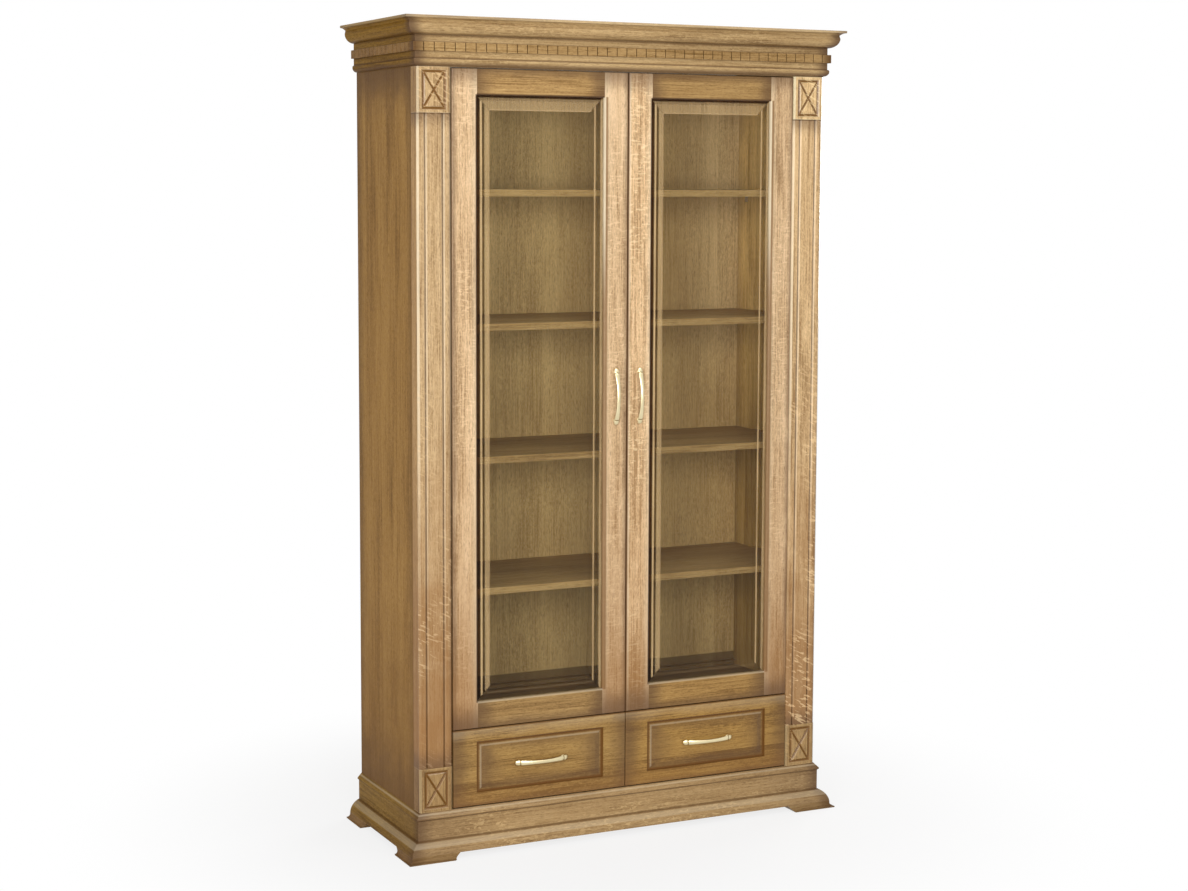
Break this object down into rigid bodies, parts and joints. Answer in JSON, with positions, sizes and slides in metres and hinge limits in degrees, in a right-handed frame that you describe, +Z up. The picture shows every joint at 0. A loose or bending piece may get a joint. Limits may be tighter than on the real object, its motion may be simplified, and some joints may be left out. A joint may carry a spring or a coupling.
{
  "type": "display cabinet",
  "caption": "Tall oak display cabinet with bevelled glass doors above drawers, fluted pilasters with carved blocks, a dentilled cornice and a moulded plinth on bracket feet.",
  "frame": {"origin": "on the floor at the centre of the overall footprint", "axes": "+Z up, +X towards the cabinet's right as its front is faced, -Y out of the front"},
  "size_m": [1.28, 0.486, 2.16],
  "materials": {
    "oak_upright": "waxed oak, grain upright",
    "oak_rail": "waxed oak, grain along the width",
    "oak_return": "waxed oak, grain front to back",
    "oak_drawer": "waxed oak, glued boards",
    "oak_panel": "waxed oak panel, grain upright",
    "oak_board": "waxed oak board, grain along the width",
    "oak_lining": "oak board, grain front to back",
    "oak_back": "oak-veneered panel, grain upright",
    "drawer_wood": "plain lacquered softwood and plywood",
    "glass": "clear bevelled glass",
    "brass": "polished",
    "steel": "nickel plated"
  },
  "bodies": {
    "cabinet": {"back_panel": "oak_back", "bracket_feet": "oak_rail", "carcass_bottom": "oak_board", "carcass_top": "oak_board", "cornice_front": "oak_rail", "cornice_left": "oak_return", "cornice_right": "oak_return", "cornice_top_panel": "oak_board", "dentil_moulding": "oak_rail", "display_floor": "oak_board", "drawer_partition": "oak_lining", "hinge_arms": "steel", "left_drawer_lining": "oak_lining", "left_pilaster": "oak_upright", "left_side_panel": "oak_panel", "lower_left_block": "oak_upright", "lower_right_block": "oak_upright", "plinth_back_rail": "drawer_wood", "plinth_front": "oak_rail", "plinth_left": "oak_return", "plinth_right": "oak_return", "right_drawer_lining": "oak_lining", "right_pilaster": "oak_upright", "right_side_panel": "oak_panel", "shelf_1": "oak_board", "shelf_2": "oak_board", "shelf_3": "oak_board", "shelf_4": "oak_board", "shelf_supports": "steel", "slide_channels": "steel", "upper_left_block": "oak_upright", "upper_right_block": "oak_upright"},
    "left_door": {"left_door_bottom_rail": "oak_rail", "left_door_glass": "glass", "left_door_glass_beads": "oak_upright", "left_door_handle": "brass", "left_door_hinge_cups": "steel", "left_door_hinge_stile": "oak_upright", "left_door_meeting_stile": "oak_upright", "left_door_top_rail": "oak_rail"},
    "right_door": {"right_door_bottom_rail": "oak_rail", "right_door_glass": "glass", "right_door_glass_beads": "oak_upright", "right_door_handle": "brass", "right_door_hinge_cups": "steel", "right_door_hinge_stile": "oak_upright", "right_door_meeting_stile": "oak_upright", "right_door_top_rail": "oak_rail"},
    "left_drawer": {"left_drawer_back": "drawer_wood", "left_drawer_bottom": "drawer_wood", "left_drawer_front": "oak_drawer", "left_drawer_handle": "brass", "left_drawer_sides": "drawer_wood", "left_drawer_slide_rails": "steel"},
    "right_drawer": {"right_drawer_back": "drawer_wood", "right_drawer_bottom": "drawer_wood", "right_drawer_front": "oak_drawer", "right_drawer_handle": "brass", "right_drawer_sides": "drawer_wood", "right_drawer_slide_rails": "steel"}
  },
  "joints": [
    {"name": "left_door_hinge", "type": "hinge", "parent": "cabinet", "child": "left_door", "pos_m": [-0.5, -0.197, 0.331], "axis": [0, 0, -1], "range_deg": [0, 110]},
    {"name": "right_door_hinge", "type": "hinge", "parent": "cabinet", "child": "right_door", "pos_m": [0.5, -0.197, 0.331], "axis": [0, 0, 1], "range_deg": [0, 110]},
    {"name": "left_drawer_slide", "type": "slide", "parent": "cabinet", "child": "left_drawer", "axis": [0, -1, 0], "range_m": [0, 0.3]},
    {"name": "right_drawer_slide", "type": "slide", "parent": "cabinet", "child": "right_drawer", "axis": [0, -1, 0], "range_m": [0, 0.3]}
  ]
}
